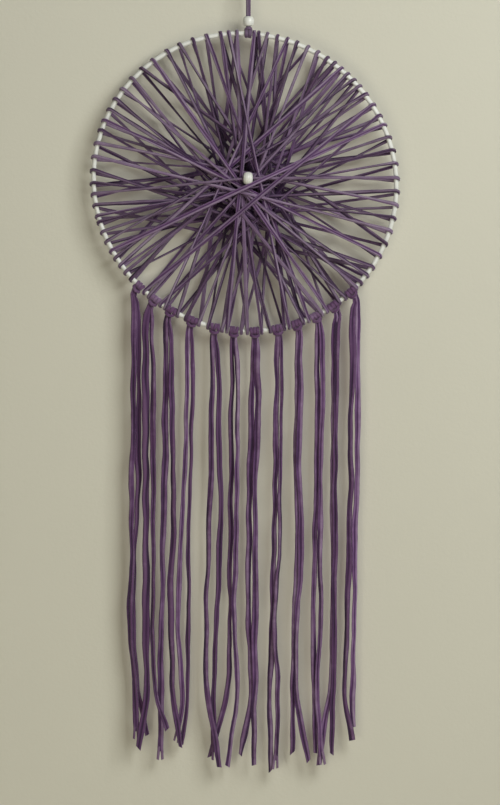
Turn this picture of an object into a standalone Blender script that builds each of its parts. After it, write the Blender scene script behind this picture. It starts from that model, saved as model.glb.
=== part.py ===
"""Dream catcher: a white wire hoop filled with a wound yarn web, with twelve yarn tassels.

Everything is modelled in the hoop's own frame, with the hoop's centre at its origin, the hoop in the
XZ plane and the front facing -Y. An empty then carries that frame down from the part's origin, which
is the point inside the top of the hanging loop where a hook bears.
"""
import math

import bmesh
import bpy
from mathutils import Matrix, Vector

# ---- driving dimensions, in metres -------------------------------------------------------------
MM = 0.001
HOOP_RADIUS = 150 * MM            # centre of the hoop to the centre of its wire, on the mean
HOOP_OVAL = 2.5 * MM              # the bent wire is this much wider one way, and narrower across it
OVAL_ANGLE = 119                  # the way in which the hoop is widest
WIRE_RADIUS = 2.3 * MM
HOOP_DROP = 226 * MM              # the loop's bearing point to the centre of the hoop
PIECE_GAP = 0.3 * MM              # clearance between separate pieces
WELD = 0.02 * MM                  # corners nearer than this are one corner

YARN_WIDTH = 3.6 * MM             # the web's yarn, drawn flat by its tension
YARN_THICKNESS = 1.0 * MM
LAY_GAP = 0.1 * MM                # clearance between yarn turns that lie on each other
MAX_BENDS = 4                     # bends that one strand of the web takes over the ones below it

HOOP_SEGMENTS = 84
WIRE_SEGMENTS = 8

# ---- places round the hoop, in degrees clockwise from its top as seen from the front ------------
TASSEL_KNOTS = (136.0, 144.5, 152.3, 160.0, 167.5, 176.3, 184.2, 191.6, 200.8, 209.8, 217.5, 225.5)
BESIDE_KNOT = 2.75                # a turn of the web lies this far to each side of a tassel's knot
SECTORS_BEFORE_KNOTS = (          # first turn, last turn, number of turns
    (3.6, 5.3, 2),
    (8.6, 20.4, 4),
    (24.9, 33.4, 3),
    (36.8, 49.8, 5),
    (53.8, 63.5, 3),
    (67.3, 82.6, 4),
    (88.2, 118.3, 7),
    (123.4, 130.7, 3),
)
SECTORS_AFTER_KNOTS = (
    (229.8, 239.8, 4),
    (243.0, 254.9, 4),
    (257.3, 269.9, 4),
    (274.8, 290.1, 4),
    (294.0, 307.5, 4),
    (312.8, 323.2, 3),
    (329.5, 345.4, 4),
    (350.8, 357.0, 3),
)

# The winding of the web, in four rounds. Each pair is one strand across the front, from one turn on
# the hoop to another, with the turns numbered clockwise. Behind the hoop the yarn goes from the end
# of each pair to the start of the next, and the last strand lies on top.
WINDING = (
    ((9, 54), (8, 48), (5, 46), (1, 39), (79, 40), (78, 33), (75, 26), (66, 28), (63, 22), (60, 18),
     (55, 13)),
    ((49, 2), (45, 7), (43, 3), (41, 81), (37, 77), (32, 72), (30, 69), (24, 65), (19, 61), (16, 51),
     (12, 57)),
    ((6, 47), (83, 42), (80, 36), (74, 35), (71, 29), (68, 23), (62, 20), (59, 14), (56, 10)),
    ((52, 11), (50, 4), (44, 0), (38, 82), (34, 76), (31, 73), (27, 70), (25, 67), (21, 64), (17, 58),
     (15, 53)),
)
BEAD_STRAND = (21, 64)            # the front strand that the centre bead is threaded on

# ---- beads ---------------------------------------------------------------------------------------
CENTRE_BEAD_PLACE = (3.1 * MM, 3.3 * MM)   # across and up from the hoop's centre
CENTRE_BEAD_RADIUS = 6.4 * MM
CENTRE_BEAD_LENGTH = 10.7 * MM
CENTRE_BEAD_HOLE = 2.4 * MM
CENTRE_BEAD_BALL = 7.0 * MM        # radius of the ball that just holds the bead
TOP_BEAD_RADIUS = 5.25 * MM
TOP_BEAD_LENGTH = 10.2 * MM
TOP_BEAD_HOLE = 3.3 * MM
BEAD_END_SHARE = 0.68             # a bead's flat end, as a share of its radius

# ---- knots on the hoop ---------------------------------------------------------------------------
KNOT_BORE = 2.9 * MM              # round the wire
KNOT_RIDGE = 4.7 * MM             # radius over a turn of the knot
KNOT_VALLEY = 4.1 * MM            # radius between two turns
KNOT_SIDES = 8
BAR_SIDES = 6
TASSEL_KNOT_TURNS = 4
TASSEL_KNOT_HALF = 4.7 * MM
BAR_OFFSET = (5.2 * MM, -0.8 * MM)         # outwards from the wire, and towards the back
BAR_RADII = (1.9 * MM, 2.3 * MM)
TASSEL_BAR_HALF = 4.3 * MM

# ---- hanging loop --------------------------------------------------------------------------------
LOOP_ANGLE = 1.3
LOOP_KNOT_TURNS = 3
LOOP_KNOT_HALF = 3.7 * MM
LOOP_BAR_HALF = 3.4 * MM
LOOP_YARN = 2.4 * MM              # the loop's yarn is drawn to a square section
LOOP_LEG = 1.35 * MM              # the loop's middle line to the middle of each leg
LOOP_EYE_HALF = 8.5 * MM          # half the eye's width, to the middle of the yarn
LOOP_NECK = 186 * MM              # height over the hoop's centre at which the legs part

# ---- tassels -------------------------------------------------------------------------------------
STRAND_WIDTHS = (3.6 * MM, 4.9 * MM, 5.1 * MM)     # at the root, from a third down, at the tip
STRAND_THICKNESS = 2.4 * MM
ROOT_SIDE = 1.9 * MM              # from the middle of the knot's bar to the root of each strand
ROOT_PITCH = 0.4 * MM             # from one layer of strands to the next, at their roots
STRAND_STATIONS = 12
LAYER_PITCH = 3.1 * MM            # from one layer of strands to the one behind it
SWAY_HEIGHTS = (-188, -238, -298, -368, -438, -508)  # mm from the hoop's centre
# One row for each strand, two to a tassel, from the left: the sideways place at each of the heights
# above, then the tip's place and height, all in mm from the hoop's centre, then the layer.
STRANDS = (
    # sway at the six heights                         tip x   tip z   layer
    ((-110.6, -112.5, -112.5, -113.4, -114.7, -110.2), -109.1, -558, 0),
    ((-105.8, -106.1, -107.0, -110.0, -112.6, -106.9), -97.9, -553, 1),
    ((-99.4, -99.3, -99.3, -99.1, -99.6, -98.4), -105.6, -566, -1),
    ((-92.1, -91.7, -91.6, -91.3, -91.8, -89.9), -77.9, -547, -2),
    ((-79.2, -79.7, -80.4, -81.9, -83.5, -83.9), -85.4, -578, 1),
    ((-73.2, -72.8, -71.4, -72.9, -74.3, -71.9), -63.4, -565, 0),
    ((-57.6, -58.8, -60.7, -64.9, -67.6, -62.4), -68.4, -560, 1),
    ((-51.9, -53.2, -54.7, -55.9, -57.2, -57.9), -63.9, -563, 2),
    ((-32.5, -33.0, -34.5, -36.9, -38.9, -37.9), -24.9, -585, 0),
    ((-26.4, -26.1, -24.0, -25.9, -27.9, -31.4), -31.2, -579, 1),
    ((-13.2, -13.7, -13.9, -14.4, -15.4, -17.9), -34.9, -575, 2),
    ((-7.9, -7.5, -8.1, -9.1, -10.9, -7.9), -17.2, -584, 0),
    ((7.7, 7.1, 4.7, 4.6, 3.2, 6.6), -4.1, -573, 1),
    ((12.2, 12.6, 10.1, 10.6, 10.2, 9.6), 9.3, -583, 0),
    ((31.9, 31.2, 30.4, 28.8, 27.5, 24.7), 25.9, -589, 1),
    ((35.8, 36.1, 35.5, 34.1, 29.9, 33.1), 31.4, -587, 0),
    ((51.9, 51.7, 51.7, 53.1, 50.7, 47.9), 47.1, -571, 1),
    ((55.3, 55.4, 54.6, 55.9, 52.5, 51.3), 62.6, -579, 0),
    ((72.8, 72.3, 72.6, 69.9, 68.3, 69.6), 70.1, -571, 1),
    ((77.7, 77.5, 75.6, 75.4, 75.7, 72.6), 77.6, -583, 0),
    ((88.9, 88.7, 88.6, 88.6, 88.0, 84.6), 73.6, -583, 1),
    ((91.4, 90.7, 89.9, 90.1, 89.3, 87.6), 87.4, -572, 0),
    ((107.1, 106.3, 105.6, 104.1, 102.7, 100.5), 107.1, -558, 0),
    ((112.6, 112.1, 111.7, 109.9, 109.3, 107.6), 108.6, -545, 1),
)

# ---- colours: (red, green, blue), roughness, metallic --------------------------------------------
FINISHES = {
    "hoop_paint": ((0.78, 0.79, 0.73), 0.35, 0.0),
    "bead_lacquer": ((0.80, 0.80, 0.73), 0.30, 0.0),
    "purple_jersey": ((0.14, 0.09, 0.15), 0.85, 0.0),
}


# ---- small geometry helpers ----------------------------------------------------------------------
def outward(angle):
    """Unit vector from the hoop's centre to the place at an angle."""
    turn = math.radians(angle)
    return Vector((math.sin(turn), 0.0, math.cos(turn)))


def clockwise(angle):
    """Unit vector along the hoop at an angle."""
    turn = math.radians(angle)
    return Vector((math.cos(turn), 0.0, -math.sin(turn)))


def wire_centre(angle):
    """The centre of the hoop's wire at an angle."""
    return outward(angle) * (HOOP_RADIUS + HOOP_OVAL * math.cos(2 * math.radians(angle - OVAL_ANGLE)))


def plan(vector):
    """The hoop's plane as a 2D plan: across and up."""
    return Vector((vector.x, vector.z))


def spread(first, last, count):
    """Evenly spaced values, both ends included."""
    return [first + (last - first) * i / (count - 1) for i in range(count)]


def smooth_path(points, count):
    """Evenly shared points along a Catmull-Rom curve through the given ones."""
    line = [points[0] * 2 - points[1]] + list(points) + [points[-1] * 2 - points[-2]]
    path = []
    for share in spread(0.0, len(points) - 1.0, count):
        i = min(int(share), len(points) - 2)
        before, start, end, after = line[i:i + 4]
        t = share - i
        path.append(0.5 * (2 * start + (end - before) * t
                           + (2 * before - 5 * start + 4 * end - after) * t * t
                           + (3 * start - 3 * end + after - before) * t ** 3))
    return path


def skin(rings, closed):
    """A closed body over rings of vertices, joined end to end or capped."""
    bm = bmesh.new()
    loops = [[bm.verts.new(point) for point in ring] for ring in rings]
    pairs = list(zip(loops, loops[1:]))
    if closed:
        pairs.append((loops[-1], loops[0]))
    for near, far in pairs:
        for i, corner in enumerate(near):
            after = (i + 1) % len(near)
            bm.faces.new((corner, near[after], far[after], far[i]))
    if not closed:
        bm.faces.new(loops[0])
        bm.faces.new(loops[-1])
    bmesh.ops.triangulate(bm, faces=bm.faces)
    bmesh.ops.recalc_face_normals(bm, faces=bm.faces)
    if bm.calc_volume(signed=True) < 0:
        bmesh.ops.reverse_faces(bm, faces=bm.faces)
    return bm


def placed(along, side, up, origin):
    """Matrix that carries local (along, side, up) coordinates to the hoop's frame."""
    return Matrix.Translation(origin) @ Matrix((along, side, up)).transposed().to_4x4()


def lathe(profile, sides, frame):
    """A closed body turned about the frame's first axis, from closed (along, radius) points."""
    rings = []
    for i in range(sides):
        turn = 2 * math.pi * (i + 0.5) / sides
        rings.append([frame @ Vector((along, radius * math.sin(turn), radius * math.cos(turn)))
                      for along, radius in profile])
    return skin(rings, closed=True)


# ---- objects -------------------------------------------------------------------------------------
def clear_scene():
    for thing in list(bpy.data.objects):
        bpy.data.objects.remove(thing, do_unlink=True)


def make_finish(name):
    colour, roughness, metallic = FINISHES[name]
    material = bpy.data.materials.new(name)
    material.use_nodes = True
    shader = material.node_tree.nodes["Principled BSDF"]
    shader.inputs["Base Color"].default_value = (*colour, 1.0)
    shader.inputs["Roughness"].default_value = roughness
    shader.inputs["Metallic"].default_value = metallic
    material.diffuse_color = (*colour, 1.0)
    return material


def make_object(name, bm, finish, carrier):
    mesh = bpy.data.meshes.new(name)
    bm.to_mesh(mesh)
    bm.free()
    thing = bpy.data.objects.new(name, mesh)
    bpy.context.collection.objects.link(thing)
    mesh.materials.append(make_finish(finish) if finish not in bpy.data.materials
                          else bpy.data.materials[finish])
    thing.parent = carrier
    return thing


def fuse(bodies):
    """One body from several overlapping ones."""
    things = []
    for bm in bodies:
        mesh = bpy.data.meshes.new("piece")
        bm.to_mesh(mesh)
        bm.free()
        thing = bpy.data.objects.new("piece", mesh)
        bpy.context.collection.objects.link(thing)
        things.append(thing)
    base, others = things[0], things[1:]
    for other in others:
        union = base.modifiers.new("union", "BOOLEAN")
        union.operation = "UNION"
        union.solver = "EXACT"
        union.object = other
    bpy.context.view_layer.update()
    graph = bpy.context.evaluated_depsgraph_get()
    merged = bmesh.new()
    merged.from_mesh(base.evaluated_get(graph).data)
    for thing in things:
        bpy.data.objects.remove(thing, do_unlink=True)
    bmesh.ops.remove_doubles(merged, verts=merged.verts, dist=WELD)
    bmesh.ops.dissolve_degenerate(merged, edges=merged.edges, dist=WELD)
    bmesh.ops.triangulate(merged, faces=merged.faces)
    return merged


# ---- hoop ----------------------------------------------------------------------------------------
def build_hoop(carrier):
    rings = []
    for i in range(HOOP_SEGMENTS):
        angle = 360 * i / HOOP_SEGMENTS
        ring = []
        for j in range(WIRE_SEGMENTS):
            turn = 2 * math.pi * j / WIRE_SEGMENTS
            ring.append(wire_centre(angle) + outward(angle) * WIRE_RADIUS * math.cos(turn)
                        + Vector((0, WIRE_RADIUS * math.sin(turn), 0)))
        rings.append(ring)
    hoop = make_object("hoop", skin(rings, closed=True), "hoop_paint", carrier)
    hoop.data.shade_smooth()


# ---- web -----------------------------------------------------------------------------------------
def turn_angles():
    """The angle of each turn of the web round the hoop, clockwise from the top."""
    angles = [angle for sector in SECTORS_BEFORE_KNOTS for angle in spread(*sector)]
    for knot in TASSEL_KNOTS:
        angles.append(knot - BESIDE_KNOT)
        if knot < TASSEL_KNOTS[-1]:
            angles.append(knot + BESIDE_KNOT)
    return angles + [angle for sector in SECTORS_AFTER_KNOTS for angle in spread(*sector)]


class Stretch:
    """A straight stretch of a strand, seen in plan, that starts some way along the strand."""

    def __init__(self, start, end, begins):
        self.start = start
        self.length = (end - start).length
        self.along = (end - start) / self.length
        self.side = Vector((-self.along.y, self.along.x))
        self.begins = begins

    def distance(self, point):
        return self.begins + (point - self.start).dot(self.along)

    def outline(self):
        half = self.side * (YARN_WIDTH + LAY_GAP) / 2
        end = self.start + self.along * self.length
        return [self.start - half, end - half, end + half, self.start + half]


def clip(polygon, point, inward):
    """The part of a convex polygon on the inward side of a line through a point."""
    kept = []
    for i, here in enumerate(polygon):
        there = polygon[(i + 1) % len(polygon)]
        a = (here - point).dot(inward)
        b = (there - point).dot(inward)
        if a >= 0:
            kept.append(here)
        if (a > 0 > b) or (a < 0 < b):
            kept.append(here + (there - here) * (a / (a - b)))
    return kept


def shared_area(one, other):
    """The convex polygon that two stretches both cover in plan."""
    polygon = one.outline()
    far_end = other.start + other.along * other.length
    half = (YARN_WIDTH + LAY_GAP) / 2
    for point, inward in ((other.start, other.along), (far_end, -other.along),
                          (other.start - other.side * half, other.side),
                          (other.start + other.side * half, -other.side)):
        if len(polygon) < 3:
            return []
        polygon = clip(polygon, point, inward)
    return polygon if len(polygon) >= 3 else []


def upper_hull(points):
    """The taut line over a set of (distance, height) points."""
    hull = []
    for point in sorted(points):
        while len(hull) > 1:
            (x0, y0), (x1, y1) = hull[-2:]
            if (x1 - x0) * (point[1] - y0) >= (point[0] - x0) * (y1 - y0):
                hull.pop()
            else:
                break
        if hull and abs(hull[-1][0] - point[0]) < 1e-9:
            hull[-1] = max(hull[-1], point, key=lambda p: p[1])
        else:
            hull.append(point)
    return hull


def crossing(a, b, c, d):
    """Where the line through a and b meets the line through c and d."""
    slope_one = (b[1] - a[1]) / (b[0] - a[0])
    slope_two = (d[1] - c[1]) / (d[0] - c[0])
    x = (c[1] - a[1] + slope_one * a[0] - slope_two * c[0]) / (slope_one - slope_two)
    return x, a[1] + slope_one * (x - a[0])


def ease(hull, bends):
    """The same taut line with fewer bends, nowhere lower than it was."""
    hull = list(hull)
    while len(hull) - 2 > bends:
        best = None
        for i in range(1, len(hull) - 2):
            peak = crossing(hull[i - 1], hull[i], hull[i + 1], hull[i + 2])
            width = hull[i + 1][0] - hull[i][0]
            base = hull[i][1] + (hull[i + 1][1] - hull[i][1]) * (peak[0] - hull[i][0]) / width
            added = (peak[1] - base) * width
            if best is None or added < best[0]:
                best = (added, i, peak)
        _, i, peak = best
        hull[i:i + 2] = [peak]
    return hull


class Strand:
    """One strand of the web across the hoop: its plan, and its height over the hoop's plane."""

    def __init__(self, places):
        self.stretches = []
        begins = 0.0
        for start, end in zip(places, places[1:]):
            self.stretches.append(Stretch(start, end, begins))
            begins += self.stretches[-1].length
        self.places = places
        self.length = begins
        self.profile = []

    def height(self, distance):
        for (x0, y0), (x1, y1) in zip(self.profile, self.profile[1:]):
            if distance <= x1:
                return y0 + (y1 - y0) * max(0.0, (distance - x0)) / (x1 - x0)
        return self.profile[-1][1]

    def rests_on(self, other):
        """The (distance, height) points at which this strand must clear an earlier one."""
        step = YARN_THICKNESS + LAY_GAP
        points = []
        for mine in self.stretches:
            for theirs in other.stretches:
                area = shared_area(mine, theirs)
                corners = list(area)
                for bend, _ in other.profile[1:-1]:
                    at = theirs.start + theirs.along * (bend - theirs.begins)
                    for i, here in enumerate(area):
                        there = area[(i + 1) % len(area)]
                        a = (here - at).dot(theirs.along)
                        b = (there - at).dot(theirs.along)
                        if a * b < 0:
                            corners.append(here + (there - here) * (a / (a - b)))
                for corner in corners:
                    points.append((mine.distance(corner),
                                   other.height(theirs.distance(corner)) + step))
        return points

    def lay(self, points, end_height, held=()):
        """Draw the strand taut over the points that it must clear, and through the held ones."""
        stops = [(0.0, end_height), *held, (self.length, end_height)]
        self.profile = stops[:1]
        for start, end in zip(stops, stops[1:]):
            between = [point for point in points if start[0] < point[0] < end[0]]
            self.profile += ease(upper_hull([start, *between, end]), MAX_BENDS)[1:]


def turn_reach():
    """The wire's centre to the middle of the yarn that turns round it, at a bend of the turn."""
    return (WIRE_RADIUS + PIECE_GAP) / math.cos(math.pi / 8) + YARN_THICKNESS / 2


def bead_side(distance):
    """Half the depth of the centre bead's ball at a distance from its centre in plan."""
    return math.sqrt(max(0.0, CENTRE_BEAD_BALL ** 2 - distance ** 2))


def nearest(strand, place):
    """The plan distance from a place to a strand's near edge, and the place's distance along it."""
    best = None
    for stretch in strand.stretches:
        along = min(max(stretch.distance(place) - stretch.begins, 0.0), stretch.length)
        gap = (place - stretch.start - stretch.along * along).length
        if best is None or gap < best[0]:
            best = (gap, stretch.begins + along)
    return max(0.0, best[0] - YARN_WIDTH / 2), best[1]


def lay_front(places):
    """The front strands in the order of winding, and the centre bead's height."""
    bead = Vector(CENTRE_BEAD_PLACE)
    bead_height = None
    strands = []
    for pair in [pair for rounds in WINDING for pair in rounds]:
        start, end = places[pair[0]], places[pair[1]]
        strand = Strand([start, bead, end] if pair == BEAD_STRAND else [start, end])
        points = [point for other in strands for point in strand.rests_on(other)]
        held = []
        if pair == BEAD_STRAND:
            bead_height = 0.0
            for other in strands:
                gap, along = nearest(other, bead)
                if gap < CENTRE_BEAD_BALL:
                    top = max(other.height(along + CENTRE_BEAD_LENGTH * share) for share in (-.5, 0, .5))
                    rest = top + YARN_THICKNESS / 2 + PIECE_GAP + bead_side(gap)
                    bead_height = max(bead_height, rest)
            middle = strand.stretches[0].length
            reach = CENTRE_BEAD_LENGTH / 2 + PIECE_GAP
            held = [(middle - reach, bead_height), (middle + reach, bead_height)]
        elif bead_height is not None:
            gap, along = nearest(strand, bead)
            if gap < CENTRE_BEAD_BALL:
                over = bead_height + bead_side(gap) + PIECE_GAP + YARN_THICKNESS / 2
                reach = bead_side(gap)
                points += [(along - reach, over), (along + reach, over)]
        strand.lay(points, turn_reach(), held)
        strands.append(strand)
    return strands, bead_height


def lay_back(places):
    """The strands behind the hoop, each from the end of a front strand to the start of the next."""
    order = [pair for rounds in WINDING for pair in rounds]
    strands = []
    for here, after in zip(order, order[1:] + order[:1]):
        strand = Strand([places[here[1]], places[after[0]]])
        points = [point for other in strands for point in strand.rests_on(other)]
        strand.lay(points, turn_reach())
        strands.append(strand)
    return strands


def yarn_section(centre, side, face):
    """The four corners of the flat yarn, from its sideways and outer directions."""
    across = side * YARN_WIDTH / 2
    over = face * YARN_THICKNESS / 2
    return [centre - across - over, centre + across - over, centre + across + over,
            centre - across + over]


def strand_sections(strand, face):
    """Sections along a strand on one side of the hoop; face is -1 for the front, 1 for the back."""
    sections = []
    outer = Vector((0, face, 0))
    bends = [stretch.begins for stretch in strand.stretches[1:]]
    stations = sorted(strand.profile + [(at, strand.height(at)) for at in bends])
    for distance, height in stations:
        passed = [s for s in strand.stretches if s.begins <= distance + 1e-9] or strand.stretches[:1]
        stretch = passed[-1]
        spot = stretch.start + stretch.along * (distance - stretch.begins)
        along = stretch.along
        if distance in bends:
            along = (strand.stretches[0].along + stretch.along).normalized()
        side = Vector((along.x, 0, along.y)).cross(outer)
        sections.append(yarn_section(Vector((spot.x, face * height, spot.y)), side, outer))
    return sections


def turn_sections(angle, face):
    """Sections round the hoop's outer edge, from the side given by face to the other side."""
    sections = []
    for step in (1, 2, 3):
        turn = step * math.pi / 4
        lean = Vector((0, face * math.cos(turn), 0)) + outward(angle) * math.sin(turn)
        heading = Vector((0, -face * math.sin(turn), 0)) + outward(angle) * math.cos(turn)
        centre = wire_centre(angle) + lean * turn_reach()
        sections.append(yarn_section(centre, heading.cross(lean), lean))
    return sections


def build_web(carrier):
    """The whole web as one endless yarn; returns the height of the bead over the hoop's plane."""
    angles = turn_angles()
    places = [plan(wire_centre(angle)) for angle in angles]
    order = [pair for rounds in WINDING for pair in rounds]
    front, bead_height = lay_front(places)
    back = lay_back(places)
    sections = []
    for i, (_, end) in enumerate(order):
        following = order[(i + 1) % len(order)][0]
        sections += strand_sections(front[i], -1)
        sections += turn_sections(angles[end], -1)
        sections += strand_sections(back[i], 1)
        sections += turn_sections(angles[following], 1)
    make_object("web", skin(sections, closed=True), "purple_jersey", carrier)
    return bead_height


# ---- beads ---------------------------------------------------------------------------------------
def bead_profile(radius, length, hole):
    """Half of a drilled round bead with flat ends, as (along, radius) points."""
    half = length / 2
    end = radius * BEAD_END_SHARE
    profile = [(-half, hole)]
    for step in range(7):
        share = step / 6
        along = half * (2 * share - 1)
        profile.append((along, end + (radius - end) * math.sqrt(max(0.0, 1 - (2 * share - 1) ** 2))))
    return profile + [(half, hole)]


def build_bead(name, radius, length, hole, along, centre, carrier):
    side = Vector((0, 1, 0))
    frame = placed(along, side, along.cross(side), centre)
    bead = make_object(name, lathe(bead_profile(radius, length, hole), 16, frame), "bead_lacquer",
                       carrier)
    bead.data.shade_smooth()
    bead.data.set_sharp_from_angle(angle=math.radians(40))


# ---- knots ---------------------------------------------------------------------------------------
def bar_middle(angle):
    """The middle of the bar of a knot at an angle."""
    return wire_centre(angle) + outward(angle) * BAR_OFFSET[0] + Vector((0, BAR_OFFSET[1], 0))


def knot_bodies(angle, turns, half, bar_half):
    """A knot round the wire: a ridged sleeve, and the bar of yarn that crosses at its outer edge."""
    out, along, back = outward(angle), clockwise(angle), Vector((0, 1, 0))
    profile = [(-half, KNOT_BORE)]
    for step in range(2 * turns + 1):
        inner = step % 2 == 0
        profile.append((half * (step / turns - 1), KNOT_VALLEY if inner else KNOT_RIDGE))
    profile.append((half, KNOT_BORE))
    sleeve = lathe(profile, KNOT_SIDES, placed(along, back, out, wire_centre(angle)))
    bar = bar_middle(angle)
    rings = []
    for share, swell in ((-1.0, 0.45), (-0.8, 0.86), (0.0, 1.0), (0.8, 0.86), (1.0, 0.45)):
        ring = []
        for i in range(BAR_SIDES):
            turn = 2 * math.pi * i / BAR_SIDES
            ring.append(bar + along * bar_half * share
                        + out * BAR_RADII[0] * swell * math.cos(turn)
                        + back * BAR_RADII[1] * swell * math.sin(turn))
        rings.append(ring)
    return [sleeve, skin(rings, closed=False)]


# ---- hanging loop --------------------------------------------------------------------------------
def loop_path(foot):
    """The loop's middle line: up one leg, round the eye and down the other."""
    middle = foot.x
    top = HOOP_DROP + LOOP_YARN / 2
    shoulder = top - LOOP_EYE_HALF
    side = [Vector((LOOP_LEG, 0, foot.z)), Vector((LOOP_LEG, 0, foot.z + 8 * MM)),
            Vector((LOOP_LEG, 0, LOOP_NECK - 8 * MM)),
            Vector((LOOP_LEG * 1.3, 0, LOOP_NECK)),
            Vector((LOOP_EYE_HALF * 0.62, 0, (LOOP_NECK + shoulder) / 2 + 1 * MM))]
    for step in range(5):
        turn = math.pi / 2 * step / 4
        side.append(Vector((LOOP_EYE_HALF * math.cos(turn), 0, shoulder + LOOP_EYE_HALF * math.sin(turn))))
    left = [Vector((-point.x, 0, point.z)) for point in side]
    whole = left + side[-2::-1]
    return [point + Vector((middle, foot.y, 0)) for point in whole]


def build_loop(carrier):
    bodies = knot_bodies(LOOP_ANGLE, LOOP_KNOT_TURNS, LOOP_KNOT_HALF, LOOP_BAR_HALF)
    path = loop_path(bar_middle(LOOP_ANGLE))
    half = LOOP_YARN / 2
    back = Vector((0, 1, 0))
    rings = []
    for i, point in enumerate(path):
        before, after = path[max(i - 1, 0)], path[min(i + 1, len(path) - 1)]
        side = (after - before).normalized().cross(back)
        rings.append([point - side * half - back * half, point + side * half - back * half,
                      point + side * half + back * half, point - side * half + back * half])
    make_object("hanging_loop", fuse(bodies + [skin(rings, closed=False)]), "purple_jersey", carrier)


# ---- tassels -------------------------------------------------------------------------------------
def strand_body(root, row):
    """One hanging strand, from inside its knot's bar to its cut end."""
    sway, tip_x, tip_z, layer = row
    depth = layer * LAYER_PITCH
    start = root.z
    points = [root]
    for x, z in zip(sway, SWAY_HEIGHTS):
        if z * MM < start - 12 * MM:
            settled = min(1.0, (start - z * MM) / (60 * MM))
            points.append(Vector((x * MM, root.y + (depth - root.y) * settled, z * MM)))
    points.append(Vector((tip_x * MM, depth, tip_z * MM)))
    path = smooth_path(points, STRAND_STATIONS)
    rings = []
    for i, point in enumerate(path):
        share = (start - point.z) / (start - tip_z * MM)
        before, after = path[max(i - 1, 0)], path[min(i + 1, len(path) - 1)]
        side = (after - before).normalized().cross(Vector((0, 1, 0))).normalized()
        if share < 1 / 3:
            width = STRAND_WIDTHS[0] + (STRAND_WIDTHS[1] - STRAND_WIDTHS[0]) * share * 3
        else:
            width = STRAND_WIDTHS[1] + (STRAND_WIDTHS[2] - STRAND_WIDTHS[1]) * (share * 3 - 1) / 2
        across, over = side * width / 2, Vector((0, STRAND_THICKNESS / 2, 0))
        rings.append([point - across - over, point + across - over, point + across + over,
                      point - across + over])
    return skin(rings, closed=False)


def build_tassel(number, carrier):
    """A knot on the hoop with its two hanging strands; tassels are numbered from the left."""
    angle = TASSEL_KNOTS[-1 - number]
    bodies = knot_bodies(angle, TASSEL_KNOT_TURNS, TASSEL_KNOT_HALF, TASSEL_BAR_HALF)
    for side, row in zip((-1, 1), STRANDS[2 * number:2 * number + 2]):
        root = bar_middle(angle) - clockwise(angle) * side * ROOT_SIDE
        root.y += row[-1] * ROOT_PITCH
        bodies.append(strand_body(root, row))
    make_object("tassel_%02d" % (number + 1), fuse(bodies), "purple_jersey", carrier)


def main():
    clear_scene()
    carrier = bpy.data.objects.new("hoop_centre", None)
    bpy.context.collection.objects.link(carrier)
    foot = bar_middle(LOOP_ANGLE)
    carrier.location = (-foot.x, -foot.y, -HOOP_DROP)
    build_hoop(carrier)
    bead_height = build_web(carrier)
    build_bead("centre_bead", CENTRE_BEAD_RADIUS, CENTRE_BEAD_LENGTH, CENTRE_BEAD_HOLE, Vector((1, 0, 0)),
               Vector((CENTRE_BEAD_PLACE[0], -bead_height, CENTRE_BEAD_PLACE[1])), carrier)
    build_loop(carrier)
    top_bead_height = foot.z + BAR_RADII[0] + PIECE_GAP + TOP_BEAD_LENGTH / 2
    build_bead("top_bead", TOP_BEAD_RADIUS, TOP_BEAD_LENGTH, TOP_BEAD_HOLE, Vector((0, 0, 1)),
               Vector((foot.x, foot.y, top_bead_height)), carrier)
    for number in range(len(TASSEL_KNOTS)):
        build_tassel(number, carrier)


main()
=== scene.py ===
"""Dresses a packed dream catcher: its wire hoop, wound web, beads, hanging loop and tassels.

The file is laid out as an add-on with one operator for each group of pieces, and runs as a script.
All work is done in metres. The hoop stands in the XZ plane with its front towards -Y, and every place
on it is counted from the hoop's centre, with angles clockwise from the top as seen from the front.
"""

import math
import random

import bpy
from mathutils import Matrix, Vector, noise


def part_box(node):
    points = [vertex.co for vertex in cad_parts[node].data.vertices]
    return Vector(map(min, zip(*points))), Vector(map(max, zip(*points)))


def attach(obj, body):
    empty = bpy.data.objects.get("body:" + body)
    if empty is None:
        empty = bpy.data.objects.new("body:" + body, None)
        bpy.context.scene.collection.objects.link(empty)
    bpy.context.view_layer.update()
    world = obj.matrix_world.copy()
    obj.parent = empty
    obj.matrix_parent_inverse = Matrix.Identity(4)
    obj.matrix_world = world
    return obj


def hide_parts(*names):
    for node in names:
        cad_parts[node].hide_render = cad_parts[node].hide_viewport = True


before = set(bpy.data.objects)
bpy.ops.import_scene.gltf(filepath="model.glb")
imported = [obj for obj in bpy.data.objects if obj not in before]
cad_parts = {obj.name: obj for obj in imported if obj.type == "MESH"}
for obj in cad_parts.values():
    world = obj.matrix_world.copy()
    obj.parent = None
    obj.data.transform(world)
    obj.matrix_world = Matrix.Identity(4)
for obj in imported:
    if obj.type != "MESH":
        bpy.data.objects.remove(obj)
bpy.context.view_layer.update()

bl_info = {
    "name": "Dream Catcher Maker",
    "version": (1, 0, 0),
    "blender": (4, 5, 0),
    "location": "View3D > Sidebar > Dream catcher",
    "description": "Winds the web of a dream catcher and makes its hoop, beads, hanging loop and tassels",
    "category": "Add Mesh",
}

MM = 0.001
FRONT = Vector((0, -1, 0))
BACK = Vector((0, 1, 0))
UP = Vector((0, 0, 1))

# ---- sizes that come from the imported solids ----
HOOP_LOW, HOOP_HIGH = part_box("hoop")
HOOP_CENTRE = (HOOP_LOW + HOOP_HIGH) / 2
WIRE_RADIUS = (HOOP_HIGH.y - HOOP_LOW.y) / 2
HOOP_RADIUS = (HOOP_HIGH.x - HOOP_LOW.x + HOOP_HIGH.z - HOOP_LOW.z) / 4 - WIRE_RADIUS
HOOP_OVAL = 2.5 * MM              # the radius is this much more one way, and less square to it
OVAL_ANGLE = 119                  # the way in which the hoop is widest

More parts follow.
